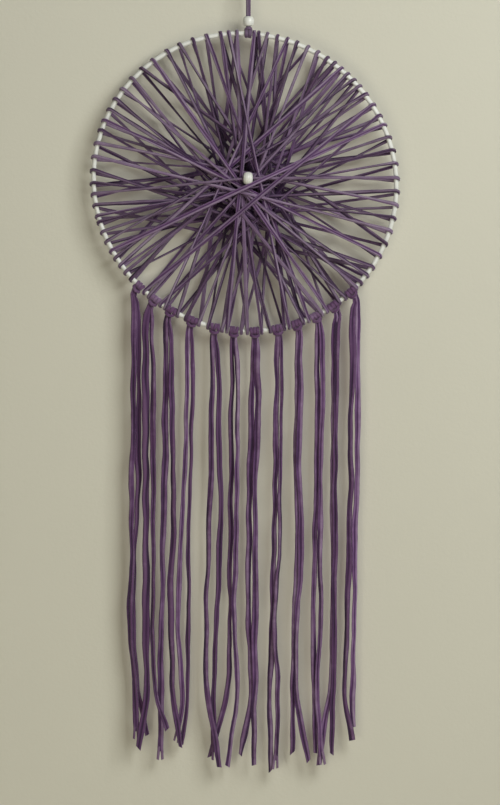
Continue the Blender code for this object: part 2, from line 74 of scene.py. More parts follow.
# ---- places round the hoop, in degrees ----
TASSEL_KNOTS = (136.0, 144.5, 152.3, 160.0, 167.5, 176.3, 184.2, 191.6, 200.8, 209.8, 217.5, 225.5)
BESIDE_KNOT = 2.75                # from a tassel's knot to the turn of the web on each side of it
TURN_SAG = 1.2                    # at the hoop's sides a turn leaves the wire this much lower behind it
SECTORS_BEFORE_KNOTS = (          # first turn, last turn, number of turns
    (3.6, 5.3, 2),
    (8.6, 20.4, 4),
    (24.9, 33.4, 3),
    (36.8, 49.8, 5),
    (53.8, 63.5, 3),
    (67.3, 82.6, 4),
    (88.2, 118.3, 7),
    (123.4, 130.7, 3),
)
SECTORS_AFTER_KNOTS = (
    (229.8, 239.8, 4),
    (243.0, 254.9, 4),
    (257.3, 269.9, 4),
    (274.8, 290.1, 4),
    (294.0, 307.5, 4),
    (312.8, 323.2, 3),
    (329.5, 345.4, 4),
    (350.8, 357.0, 3),
)

# The winding. Each pair is one strand across the front, from one turn on the hoop to another. Behind
# the hoop the yarn goes from the end of each pair to the start of the next, and the last strand lies
# on top.
WINDING = (
    (9, 54), (8, 48), (5, 46), (1, 39), (79, 40), (78, 33), (75, 26), (66, 28), (63, 22), (60, 18),
    (55, 13), (49, 2), (45, 7), (43, 3), (41, 81), (37, 77), (32, 72), (30, 69), (24, 65), (19, 61),
    (16, 51), (12, 57), (6, 47), (83, 42), (80, 36), (74, 35), (71, 29), (68, 23), (62, 20), (59, 14),
    (56, 10), (52, 11), (50, 4), (44, 0), (38, 82), (34, 76), (31, 73), (27, 70), (25, 67), (21, 64),
    (17, 58), (15, 53),
)
BEAD_STRAND = (21, 64)
TWO_EDGED = ((15, 53), (34, 76), (17, 58))     # strands whose two rolled edges both face the front

# ---- tassels ----
SWAY_HEIGHTS = (-188, -238, -298, -368, -438, -508)     # from the hoop's centre, in mm
# One row for each strand, two to a tassel, from the left: the sideways place at each of the heights
# above, the tip's place and height, the layer, the strand's width, the tip's width and the slant of
# its cut, all in mm but the layer.
STRANDS = (
    # sway at the six heights                         tip x  tip z  layer wide tip wide slant
    ((-110.6, -112.5, -112.5, -113.4, -114.7, -110.2), -109.1, -558, 0, 4.9, 4.2, -1.6),
    ((-105.8, -106.1, -107.0, -110.0, -112.6, -106.9), -97.9, -553, 1, 4.7, 4.4, 0.8),
    ((-99.4, -99.3, -99.3, -99.1, -99.6, -98.4), -105.6, -566, -1, 6.0, 5.4, -2.2),
    ((-92.1, -91.7, -91.6, -91.3, -91.8, -89.9), -77.9, -547, -2, 4.4, 5.2, 1.4),
    ((-79.2, -79.7, -80.4, -81.9, -83.5, -83.9), -85.4, -578, 1, 5.2, 5.6, 0.3),
    ((-73.2, -72.8, -71.4, -72.9, -74.3, -71.9), -63.4, -565, 0, 5.2, 3.4, -1.2),
    ((-57.6, -58.8, -60.7, -64.9, -67.6, -62.4), -68.4, -560, 1, 4.1, 4.6, -1.4),
    ((-51.9, -53.2, -54.7, -55.9, -57.2, -57.9), -63.9, -563, 2, 3.6, 4.2, 0.6),
    ((-32.5, -33.0, -34.5, -36.9, -38.9, -37.9), -24.9, -585, 0, 4.6, 4.8, -0.7),
    ((-26.4, -26.1, -24.0, -25.9, -27.9, -31.4), -31.2, -579, 1, 4.7, 4.6, -1.1),
    ((-13.2, -13.7, -13.9, -14.4, -15.4, -17.9), -34.9, -575, 2, 4.4, 4.0, 1.5),
    ((-7.9, -7.5, -8.1, -9.1, -10.9, -7.9), -17.2, -584, 0, 4.5, 5.0, -0.9),
    ((7.7, 7.1, 4.7, 4.6, 3.2, 6.6), -4.1, -573, 1, 5.4, 3.8, -1.3),
    ((12.2, 12.6, 10.1, 10.6, 10.2, 9.6), 9.3, -583, 0, 5.1, 4.8, 0.6),
    ((31.9, 31.2, 30.4, 28.8, 27.5, 24.7), 25.9, -589, 1, 5.0, 4.4, 2.2),
    ((35.8, 36.1, 35.5, 34.1, 29.9, 33.1), 31.4, -587, 0, 3.7, 5.6, 1.2),
    ((51.9, 51.7, 51.7, 53.1, 50.7, 47.9), 47.1, -571, 1, 5.0, 4.8, 2.4),
    ((55.3, 55.4, 54.6, 55.9, 52.5, 51.3), 62.6, -579, 0, 4.8, 4.6, 2.0),
    ((72.8, 72.3, 72.6, 69.9, 68.3, 69.6), 70.1, -571, 1, 4.8, 4.0, -0.4),
    ((77.7, 77.5, 75.6, 75.4, 75.7, 72.6), 77.6, -583, 0, 4.6, 5.8, -0.5),
    ((88.9, 88.7, 88.6, 88.6, 88.0, 84.6), 73.6, -583, 1, 5.2, 5.2, 0.8),
    ((91.4, 90.7, 89.9, 90.1, 89.3, 87.6), 87.4, -572, 0, 5.0, 3.9, -1.4),
    ((107.1, 106.3, 105.6, 104.1, 102.7, 100.5), 107.1, -558, 0, 5.0, 6.4, 0.2),
    ((112.6, 112.1, 111.7, 109.9, 109.3, 107.6), 108.6, -545, 1, 5.0, 4.2, 0.3),
)
SPLIT_TIPS = (0, 4, 6, 9, 15, 19)  # rows whose tip is split in two

# ---- how finely things are made ----
STRAND_STEP = 5 * MM              # between the stations of a strand of the web
TASSEL_STEP = 4.5 * MM            # the same, of a hanging strand
LOOP_STEP = 3 * MM                # the same, of the hanging loop
FEWEST_STATIONS = 14              # of a short strand
TURN_STEPS = 6                    # of a turn of the web round the wire
SECTION_STEPS = (0, 7, 15, 26, 42, 64, 90, 118, 144, 166, 184, 202, 222, 248, 276, 302, 322, 338, 350)
SEED = 27                         # of all that is random

# ---- how the yarn looks ----
YARN_GIRTH = 9.6 * MM             # mean length round the curled yarn
GIRTH_WAVER = 0.035               # how uneven it is
FOLD_STEP = 184                   # a shallow fold runs along the yarn opposite its groove
FOLD_NOTCH = 15                   # half its width, in degrees
FOLD_DEPTH = 0.4                  # as a share of the groove's
EDGE_SHADE = 0.42                 # painted shade where the rolled edges turn under
BURIED_SHADE = 0.18               # painted shade on the lowest strands in the middle of the web, which other yarn covers
BACK_SHADE = 0.06                 # painted shade on the hidden side of the strands behind the hoop
SHADING = 1.7                     # how fast the colour falls with the painted shade
DARKEST = 0.16
GREEN_FALL = 1.7                  # in the painted shade green falls faster than red,
BLUE_FALL = 0.82                  # and blue more slowly
HEAP_REACH = 125 * MM             # how far from the hoop's centre the painted shade of buried strands reaches
END_REACH = 22 * MM               # from a turn on the wire to where a strand takes its own shape
PRESSED = 0.72                    # thickness of the yarn behind the hoop, where the wall presses on it
LEVELLINGS = 3                    # how often the heights along a strand are smoothed
SIDE_SLIP = 0.3 * MM              # how far a strand of the web strays from a straight line
WIDTHS = (0.68, 1.28)             # of single strands of the web, as shares of the settings
END_WIDTHS = (1.0, 1.2)           # the same, at the turns
THICKNESSES = (0.85, 1.2)
GROOVES = (0.8, 1.25)
TWO_EDGED_WIDTH = 1.35            # where both rolled edges face the front


# ---- small geometry helpers ----
def outward(angle):
    """Unit vector from the hoop's centre to the place at an angle."""
    turn = math.radians(angle)
    return Vector((math.sin(turn), 0.0, math.cos(turn)))


def clockwise(angle):
    """Unit vector along the hoop at an angle."""
    turn = math.radians(angle)
    return Vector((math.cos(turn), 0.0, -math.sin(turn)))


def wire_centre(angle):
    """The centre of the hoop's wire at an angle, from the hoop's centre."""
    return outward(angle) * (HOOP_RADIUS + HOOP_OVAL * math.cos(2 * math.radians(angle - OVAL_ANGLE)))


def plan(vector):
    """The hoop's plane as a 2D plan: across and up."""
    return Vector((vector.x, vector.z))


def spread(first, last, count):
    """Evenly spaced values, both ends included."""
    return [first + (last - first) * i / (count - 1) for i in range(count)]


def mix(a, b, share):
    return a + (b - a) * share


def ease(share):
    """A smooth step from 0 to 1."""
    share = min(max(share, 0.0), 1.0)
    return share * share * (3 - 2 * share)


def wander(place, channel):
    """A smooth random value between about -1 and 1 that changes with the place."""
    return 1.6 * noise.noise(Vector((place, channel * 7.31, 0.37)))


def blunt(value, power):
    """A sine or cosine to a power under 1, which makes a section fuller than an oval."""
    return math.copysign(abs(value) ** power, value)


def smooth_path(points, step):
    """Points about a step apart along a Catmull-Rom curve through the given ones."""
    line = [points[0] * 2 - points[1]] + list(points) + [points[-1] * 2 - points[-2]]
    path = []
    for i in range(len(points) - 1):
        before, start, end, after = line[i:i + 4]
        count = max(1, round((end - start).length / step))
        for j in range(count):
            t = j / count
            path.append(0.5 * (2 * start + (end - before) * t
                               + (2 * before - 5 * start + 4 * end - after) * t * t
                               + (3 * start - 3 * end + after - before) * t ** 3))
    path.append(points[-1])
    return path


# ---- yarn ----
class Station:
    """One section of the curled yarn: its place, the way it faces and its shape."""

    def __init__(self, point, face, width, thickness, groove=90.0, depth=0.3, notch=20.0, twist=0.0,
                 tone=0.5, shear=0.0, buried=0.0, inner=0.0):
        self.point, self.face = point, face
        self.width, self.thickness = width, thickness
        self.groove = groove              # where the rolled edges meet, in degrees; 90 is the face
        self.depth, self.notch = depth, notch
        self.twist, self.shear = twist, shear
        self.tone = tone
        self.buried = buried              # painted shade for lying under other yarn
        self.inner = inner                # painted shade on the side turned away from its face

    def ring(self, along, gone):
        """The section's points, and each one's painted shade: how deep it lies in the groove or fold, under
        other yarn or under the rolled edges.
        """
        side = along.cross(self.face).normalized()
        face = side.cross(along)
        cos_twist, sin_twist = math.cos(self.twist), math.sin(self.twist)
        points, painted_shades = [], []
        for step in SECTION_STEPS:
            turn = math.radians(step + self.groove)
            near = min(step, 360 - step) / self.notch
            fold = (step - FOLD_STEP) / FOLD_NOTCH
            # How deep the point lies in the groove or fold: this pulls the section in, and is also painted
            # as shade there.
            hollow_and_shade = self.depth * (math.exp(-near * near) + FOLD_DEPTH * math.exp(-fold * fold))
            reach = (1 - hollow_and_shade) * (1 + GIRTH_WAVER * wander(gone * 240, step * 0.05))
            x = self.width / 2 * blunt(math.cos(turn), 0.9) * reach
            y = self.thickness / 2 * blunt(math.sin(turn), 0.85) * reach
            sheared = along * self.shear * x / self.width * 2
            x, y = x * cos_twist - y * sin_twist, x * sin_twist + y * cos_twist
            points.append(self.point + side * x + face * y + sheared)
            # Painted shade for lying under other yarn, on the hidden side, and where the rolled edges turn
            # under.
            shade = self.buried + self.inner * max(0.0, -math.sin(turn))
            painted_shades.append(hollow_and_shade + shade + EDGE_SHADE * math.cos(turn) ** 4)
        return points, painted_shades


def new_mesh(name, points, faces, material, sharp=None):
    """A smooth mesh, with its edges sharp from an angle on where one is given."""
    mesh = bpy.data.meshes.new(name)
    mesh.from_pydata(points, [], faces)
    mesh.shade_smooth()
    if sharp:
        mesh.set_sharp_from_angle(angle=math.radians(sharp))
    mesh.materials.append(material)
    return mesh


def ring_faces(rings, sides):
    """Faces between each ring of points and the next, the last ring joined to the first."""
    faces = []
    for i in range(rings):
        near, far = i * sides, (i + 1) % rings * sides
        for j in range(sides):
            after = (j + 1) % sides
            faces.append((near + j, near + after, far + after, far + j))
    return faces


class Skein:
    """The points and faces of one piece of yarn work, with its yarn coordinates."""

    def __init__(self):
        self.points = []
        self.faces = []
        self.spots = []
        self.tones = []
        self.painted_shades = []

    def run(self, stations, closed=False):
        """Add one length of yarn through the stations, joined end to end or with two cut ends."""
        sides = len(SECTION_STEPS)
        first = len(self.points)
        count = len(stations)
        gone = [0.0]
        for i, station in enumerate(stations):
            before = stations[i - 1] if closed or i else station
            after = stations[(i + 1) % count] if closed or i + 1 < count else station
            ring, painted_shades = station.ring((after.point - before.point).normalized(), gone[-1])
            self.points += ring
            self.painted_shades += painted_shades
            self.tones += [station.tone] * sides
            gone.append(gone[-1] + (after.point - station.point).length)
        rounds = [YARN_GIRTH * step / 360 for step in SECTION_STEPS] + [YARN_GIRTH]
        for i in range(count if closed else count - 1):
            near, far = first + i * sides, first + (i + 1) % count * sides
            for k in range(sides):
                after = (k + 1) % sides
                self.faces.append((near + k, far + k, far + after, near + after))
                self.spots += [rounds[k], gone[i], rounds[k], gone[i + 1],
                               rounds[k + 1], gone[i + 1], rounds[k + 1], gone[i]]
        if not closed:
            last = first + (count - 1) * sides
            self.faces.append(tuple(first + k for k in range(sides)))
            self.faces.append(tuple(last + k for k in reversed(range(sides))))
            self.spots += [0.0, 0.0] * (2 * sides)

    def piece(self, node, material):
        """Make the object, which stands for a CAD node."""
        name = node + "_yarn"
        mesh = new_mesh(name, self.points, self.faces, material, 70)
        mesh.uv_layers.new(name="yarn").data.foreach_set("uv", self.spots)
        for title, values in (("tone", self.tones), ("hollow_and_shade", self.painted_shades)):
            mesh.attributes.new(title, "FLOAT", "POINT").data.foreach_set("value", values)
        dress(new_object(name, mesh), node)


def new_object(name, data):
    """An object in the scene."""
    made = bpy.data.objects.new(name, data)
    bpy.context.scene.collection.objects.link(made)
    return made


def dress(piece, node):
    """Put a piece on the one body, in place of a CAD node."""
    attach(piece, "root")
    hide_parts(node)


# ---- winding the web ----
def turn_angles():
    """The angle of each turn of the web round the hoop; none lies just after the last knot."""
    angles = [angle for sector in SECTORS_BEFORE_KNOTS for angle in spread(*sector)]
    for knot in TASSEL_KNOTS:
        angles.append(knot - BESIDE_KNOT)
        if knot < TASSEL_KNOTS[-1]:
            angles.append(knot + BESIDE_KNOT)
    return angles + [angle for sector in SECTORS_AFTER_KNOTS for angle in spread(*sector)]


def behind(angle):
    """The angle at which a turn of the web leaves the back of the wire."""
    return angle + TURN_SAG * math.sin(math.radians(angle))


class Stretch:
    """A straight stretch of a strand, seen in plan, that starts some way along the strand."""

    def __init__(self, start, end, begins, width):
        self.start = start
        self.length = (end - start).length
        self.along = (end - start) / self.length
        self.side = Vector((-self.along.y, self.along.x))
        self.begins = begins
        self.half = width / 2

    def distance(self, point):
        return self.begins + (point - self.start).dot(self.along)

    def outline(self):
        half = self.side * self.half
        end = self.start + self.along * self.length
        return [self.start - half, end - half, end + half, self.start + half]


def clip(polygon, point, inward):
    """The part of a convex polygon on the inward side of a line through a point."""
    kept = []
    for i, here in enumerate(polygon):
        there = polygon[(i + 1) % len(polygon)]
        a = (here - point).dot(inward)
        b = (there - point).dot(inward)
        if a >= 0:
            kept.append(here)
        if (a > 0 > b) or (a < 0 < b):
            kept.append(here + (there - here) * (a / (a - b)))
    return kept


def shared_area(one, other):
    """The convex polygon that two stretches both cover in plan."""
    polygon = one.outline()
    far_end = other.start + other.along * other.length
    for point, inward in ((other.start, other.along), (far_end, -other.along),
                          (other.start - other.side * other.half, other.side),
                          (other.start + other.side * other.half, -other.side)):
        if len(polygon) < 3:
            return []
        polygon = clip(polygon, point, inward)
    return polygon if len(polygon) >= 3 else []


def upper_hull(points):
    """The taut line over a set of (distance, height) points."""
    hull = []
    for point in sorted(points):
        while len(hull) > 1:
            (x0, y0), (x1, y1) = hull[-2:]
            if (x1 - x0) * (point[1] - y0) >= (point[0] - x0) * (y1 - y0):
                hull.pop()
            else:
                break
        if hull and abs(hull[-1][0] - point[0]) < 1e-9:
            hull[-1] = max(hull[-1], point, key=lambda p: p[1])
        else:
            hull.append(point)
    return hull


class Strand:
    """One strand of the web across the hoop: its plan, and its height over the hoop's plane."""

    def __init__(self, places, width):
        self.stretches = []
        begins = 0.0
        for start, end in zip(places, places[1:]):
            self.stretches.append(Stretch(start, end, begins, width))
            begins += self.stretches[-1].length
        self.length = begins
        self.profile = []

    def height(self, distance):
        for (x0, y0), (x1, y1) in zip(self.profile, self.profile[1:]):
            if distance <= x1:
                return y0 + (y1 - y0) * max(0.0, (distance - x0)) / (x1 - x0)
        return self.profile[-1][1]

    def spot(self, distance):
        """The place in plan at a distance along the strand."""
        stretch = [s for s in self.stretches if s.begins <= distance + 1e-9][-1]
        return stretch.start + stretch.along * (distance - stretch.begins)

    def rests_on(self, other, lay):
        """The (distance, height) points at which this strand must clear an earlier one."""
        points = []
        for mine in self.stretches:
            for theirs in other.stretches:
                for corner in shared_area(mine, theirs):
                    points.append((mine.distance(corner), other.height(theirs.distance(corner)) + lay))
        return points

    def lay_over(self, points, end_height, held=()):
        """Draw the strand taut over the points that it must clear, and through the held ones."""
        stops = [(0.0, end_height), *held, (self.length, end_height)]
        self.profile = stops[:1]
        for start, end in zip(stops, stops[1:]):
            between = [point for point in points if start[0] < point[0] < end[0]]
            self.profile += upper_hull([start, *between, end])[1:]


def nearest(strand, place):
    """The plan distance from a place to a strand's near edge, and the place's distance along it."""
    best = None
    for stretch in strand.stretches:
        along = min(max(stretch.distance(place) - stretch.begins, 0.0), stretch.length)
        gap = (place - stretch.start - stretch.along * along).length - stretch.half
        if best is None or gap < best[0]:
            best = (max(0.0, gap), stretch.begins + along)
    return best


def wind_web(yarn, angles):
    """The front and the back strands of the web, in the order of winding, between turns at angles."""
    places = [plan(wire_centre(angle)) for angle in angles]
    back_places = [plan(wire_centre(behind(angle))) for angle in angles]
    low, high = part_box("centre_bead")
    middle = (low + high) / 2 - HOOP_CENTRE
    bead, bead_height = plan(middle), -middle.y
    bead_half, bead_radius = (high.x - low.x) / 2, (high.z - low.z) / 2
    end_height = WIRE_RADIUS + yarn.web_thickness * 0.5
    front, back = [], []
    passed = False
    for pair in WINDING:
        start, end = places[pair[0]], places[pair[1]]
        threaded = pair == BEAD_STRAND
        strand = Strand([start, bead, end] if threaded else [start, end], yarn.web_width)
        points = [point for other in front for point in strand.rests_on(other, yarn.lay)]
        held = []
        if threaded:
            passed = True
            held = [(strand.stretches[0].length + side * bead_half * 1.1, bead_height) for side in (-1, 1)]
        elif passed:
            gap, along = nearest(strand, bead)
            if gap < bead_radius:
                reach = math.sqrt(bead_radius ** 2 - gap ** 2)
                over = bead_height + reach + yarn.web_thickness / 2
                points += [(along - reach, over), (along + reach, over)]
        strand.lay_over(points, end_height, held)
        front.append(strand)
    for here, after in zip(WINDING, WINDING[1:] + WINDING[:1]):
        strand = Strand([back_places[here[1]], back_places[after[0]]], yarn.web_width)
        points = [point for other in back for point in strand.rests_on(other, yarn.lay * PRESSED)]
        strand.lay_over(points, end_height)
        back.append(strand)
    return front, back


def strand_stations(strand, face, yarn, rng, two_edged, shown):
    """The sections of one strand of the web; face is FRONT or BACK, and shown is 1 for the top one."""
    count = max(FEWEST_STATIONS, round(strand.length / STRAND_STEP))
    heights = [strand.height(strand.length * i / count) for i in range(count + 1)]
    for _ in range(LEVELLINGS):
        heights[1:-1] = [(a + 2 * b + c) / 4 for a, b, c in zip(heights, heights[1:], heights[2:])]
    channel = rng.uniform(0, 90)
    width = yarn.web_width * (TWO_EDGED_WIDTH if two_edged else rng.uniform(*WIDTHS))
    end_width = yarn.web_width * rng.uniform(*END_WIDTHS)
    thickness = yarn.web_thickness * (rng.uniform(*THICKNESSES) if face is FRONT else PRESSED)
    groove = 90 + (rng.uniform(-8, 8) if two_edged else rng.uniform(-60, 60))
    depth = yarn.groove * (1.0 if two_edged else rng.uniform(*GROOVES))
    # Painted shade and light by layer: the lower a strand lies, the darker its tone; the rest is random
    # tone.
    tone = mix(0.25, 0.8, shown) + rng.uniform(-0.2, 0.2)
    turned = 0 if two_edged or rng.random() < 0.65 else 180
    stations = []
    for i, height in enumerate(heights):
        distance = strand.length * i / count
        spot = strand.spot(distance)
        near_end = min(distance, strand.length - distance)
        share = ease(near_end / END_REACH)
        twist = (0.2 if two_edged else 0.55) * share * wander(distance * 16, channel)
        swell = 1 + 0.22 * wander(distance * 22, channel + 11)
        slip = Vector((0, 0, 0))
        if 0 < i < count:
            slip = Vector((wander(distance * 14, channel + 23), 0, wander(distance * 14, channel + 29)))
            slip *= SIDE_SLIP * share
        # Painted shade, deepest in the middle of the heap: on the lower strands in front, and on the hidden
        # side of those behind.
        middle = BURIED_SHADE * (1 - ease(spot.length / HEAP_REACH))
        buried = middle * (1 - shown) ** 0.7
        stations.append(Station(
            HOOP_CENTRE + Vector((spot.x, 0, spot.y)) + face * height + slip, face,
            mix(end_width, width * swell, share), mix(yarn.web_thickness, thickness, share),
            groove=turned + groove + 30 * wander(distance * 12, channel + 41), depth=depth,
            notch=24 if two_edged else 25, twist=twist, tone=tone, buried=buried,
            inner=0.0 if face is FRONT else middle + BACK_SHADE))
    return stations


def turn_stations(angle, face, yarn, before, after):
    """The sections of a turn round the wire, between the strands that it joins."""
    stations = []
    reach = WIRE_RADIUS + yarn.web_thickness * 0.5
    starts, ends = (angle, behind(angle)) if face is FRONT else (behind(angle), angle)
    for step in range(1, TURN_STEPS):
        share = step / TURN_STEPS
        turn, at = math.pi * share, mix(starts, ends, share)
        lean = face * math.cos(turn) + outward(at) * math.sin(turn)
        stations.append(Station(
            HOOP_CENTRE + wire_centre(at) + lean * reach, lean, mix(before.width, after.width, share),
            mix(before.thickness, after.thickness, share), groove=mix(before.groove, after.groove, share),
            depth=mix(before.depth, after.depth, share), tone=mix(before.tone, after.tone, share)))
    return stations


# ---- knots, loop and tassels ----
WRAP_HEIGHTS = (3.1, 3.5)         # half the height of a knot's turn, in mm
WRAP_DEPTH = 3.3 * MM             # half its depth
WRAP_THICKNESS = 2.1 * MM
BAR_OFFSET = 5.2 * MM             # outwards from the wire to the middle of a knot's collar
COLLAR_FORWARD = 0.6 * MM
COLLAR_WIDTHS = (3.0, 3.5)        # of the collar's yarn, in mm
COLLAR_THICKNESS = 2.0 * MM
COLLAR_SAG = 1.8 * MM             # from the collar's ends, pulled up to the wire, to its middle
TASSEL_COLLAR = (4.4 * MM, 2.55 * MM)      # half the collar's length and depth
LOOP_COLLAR = (3.3 * MM, 2.4 * MM)
TASSEL_TURNS = 3
TASSEL_PITCHES = (3.0, 3.8)       # from one turn of a knot to the next, in mm
LOOP_TURNS = 2
LOOP_PITCH = 3.7 * MM
LOOP_ANGLE = 1.3
LEGS_FORWARD = 0.8 * MM           # from the wire's centre to the middle of the loop's legs
EYE_HEIGHT = 33 * MM              # from where the loop's legs part up to the eye's widest place
ROOT_SIDE = 1.7 * MM              # from the collar's middle to the root of each hanging strand
ROOT_WIDTH = 3.3                  # of a hanging strand in its knot, in mm
NECK_DROP = 14 * MM               # from the roots down to where two strands still hang close
NECK_CLEAR = 8                    # how far above the first sway height that place must be, in mm
LEAST_DROP = 10 * MM              # a sway height nearer to the roots than this is left out
SETTLE_DROP = 36 * MM             # from the roots down to where a strand hangs in its own layer
WIDENING = 16 * MM                # length over which a strand widens below its root
LOOSENING = 40 * MM               # length over which its kinks grow
TWISTING = 30 * MM                # length over which its twist grows
OPENED = 22 * MM                  # length of a hanging strand's flatter end
PRONG = (-5, -2, 1.5, 5, 8.2)     # places along half a split tip, from the strand's end, in mm


def ring_stations(centre, one, other, radii, count, width, thickness, tone, depth, waver):
    """The sections of a closed turn of yarn, on an oval spanned by two unit vectors."""
    stations = []
    for i in range(count):
        turn = 2 * math.pi * i / count
        point = centre + one * radii[0] * math.cos(turn) + other * radii[1] * math.sin(turn)
        face = (one * math.cos(turn) / radii[0] + other * math.sin(turn) / radii[1]).normalized()
        swell = 1 + 0.07 * math.sin(2 * turn + waver)
        stations.append(Station(point, face, width * swell, thickness, depth=depth, tone=tone))
    return stations


def tie_knot(skein, angle, turns, pitch, collar, tone, rng):
    """The turns of a knot round the wire, side by side, and the collar at their outer edge."""
    out, along = outward(angle), clockwise(angle)
    centre = HOOP_CENTRE + wire_centre(angle)
    for i in range(turns):
        lean = math.radians(rng.uniform(-9, 9))
        one = out * math.cos(lean) + along * math.sin(lean)
        place = centre + along * pitch * (i - (turns - 1) / 2)
        height = rng.uniform(*WRAP_HEIGHTS) * MM
        skein.run(ring_stations(place, one, BACK, (height, WRAP_DEPTH), 20, pitch * 1.04, WRAP_THICKNESS,
                                tone, 0.1, rng.uniform(0, 6)), closed=True)
    lean = math.radians(rng.uniform(-8, 8))
    one = along * math.cos(lean) + out * math.sin(lean)
    place = centre + out * BAR_OFFSET + FRONT * COLLAR_FORWARD
    stations = ring_stations(place, one, BACK, collar, 24, rng.uniform(*COLLAR_WIDTHS) * MM,
                             COLLAR_THICKNESS, tone, 0.22, rng.uniform(0, 6))
    for station in stations:
        share = abs((station.point - place).dot(one)) / collar[0]
        station.point += out * COLLAR_SAG * (0.4 - share ** 1.6)
    skein.run(stations, closed=True)


def tassel_stations(path, rng, yarn, body_width, tip_width, slant, split):
    """The sections of one hanging strand, from inside its knot to its cut tip."""
    lengths = [0.0]
    for here, after in zip(path, path[1:]):
        lengths.append(lengths[-1] + (after - here).length)
    total = lengths[-1]
    channel = rng.uniform(0, 90)
    tone = rng.uniform(-0.05, 0.45)
    groove = 90 + rng.uniform(-35, 35)
    stations = []
    for point, gone in zip(path, lengths):
        swell = 1 + 0.2 * wander(gone * 15, channel) + 0.12 * wander(gone * 45, channel + 3)
        width = mix(ROOT_WIDTH, body_width * 1.16 * swell, ease(gone / WIDENING)) * MM
        opened = ease((gone - total + OPENED) / OPENED)
        width = mix(width, tip_width * MM, opened)
        thickness = yarn.strand_thickness * mix(1 + 0.15 * wander(gone * 23, channel + 9), 0.72, opened)
        twist = 0.55 * ease(gone / TWISTING) * wander(gone * 10, channel + 17) * (1 - 0.7 * opened)
        loose = ease(gone / LOOSENING) * yarn.kink
        slip = Vector((wander(gone * 32, channel + 51), 0.6 * wander(gone * 21, channel + 57), 0)) * loose
        stations.append(Station(
            point + slip, FRONT, width, thickness, groove=groove + 35 * wander(gone * 12, channel + 31),
            depth=min(0.8, yarn.groove * mix(1.05 + 0.6 * wander(gone * 24, channel + 37), 1.3, opened)),
            notch=27, twist=twist, tone=tone))
    if split:
        del stations[-2:]
    else:
        stations[-1].shear = slant * MM
        stations[-2].shear = slant * MM * 0.5
    return stations


def tip_prongs(skein, stations, slant):
    """The two halves of a split tip, one from each edge of the strand."""
    here, before = stations[-1], stations[-3]
    along = (here.point - before.point).normalized()
    side = along.cross(here.face).normalized()
    for way in (-1, 1):
        prong = []
        for step, reach in enumerate((*PRONG[:-1], PRONG[-1] + way * slant * 0.5)):
            spot = here.point + along * reach * MM + side * way * (here.width * 0.24 + step * 0.22 * MM)
            prong.append(Station(spot, here.face, here.width * 0.5, here.thickness * 0.85,
                                 groove=0 if way < 0 else 180, depth=0.3, tone=here.tone,
                                 shear=-way * 0.5 * MM * (step > 3)))
        skein.run(prong)


def make_tassel(number, yarn, material):
    """A knot on the hoop with its two hanging strands; tassels are numbered from the left."""
    rng = random.Random(SEED + 40 + number)
    skein = Skein()
    angle = TASSEL_KNOTS[-1 - number]
    out, along = outward(angle), clockwise(angle)
    tie_knot(skein, angle, TASSEL_TURNS, rng.uniform(*TASSEL_PITCHES) * MM, TASSEL_COLLAR,
             rng.uniform(-0.1, 0.15), rng)
    root = HOOP_CENTRE + wire_centre(angle) + out * BAR_OFFSET + FRONT * COLLAR_FORWARD
    for side, row in ((-1, 2 * number), (1, 2 * number + 1)):
        sway, tip_x, tip_z, layer, body_width, tip_width, slant = STRANDS[row]
        split = row in SPLIT_TIPS
        depth = layer * yarn.layer_pitch
        start = root - along * side * ROOT_SIDE
        points = [start - out * 1.3 * MM, start + out * 1.5 * MM,
                  start + out * 3.2 * MM - UP * 3.5 * MM + BACK * depth * 0.1]
        neck = points[2].lerp(HOOP_CENTRE + Vector((sway[0] * MM, 0, points[2].z)), 0.7)
        neck.z = points[2].z - NECK_DROP
        neck.y = mix(points[2].y, depth, 0.4)
        if neck.z > HOOP_CENTRE.z + (SWAY_HEIGHTS[0] + NECK_CLEAR) * MM:
            points.append(neck)
        for x, height in zip(sway, SWAY_HEIGHTS):
            spot = HOOP_CENTRE + Vector((x * MM, depth, height * MM))
            drop = points[2].z - spot.z
            if drop > LEAST_DROP:
                spot.y = mix(points[2].y, spot.y, min(1.0, drop / SETTLE_DROP))
                points.append(spot)
        points.append(HOOP_CENTRE + Vector((tip_x * MM, depth, tip_z * MM)))
        path = smooth_path(points, TASSEL_STEP)
        stations = tassel_stations(path, rng, yarn, body_width, tip_width, slant, split)
        skein.run(stations)
        if split:
            tip_prongs(skein, stations, slant)
    skein.piece("tassel_%02d" % (number + 1), material)


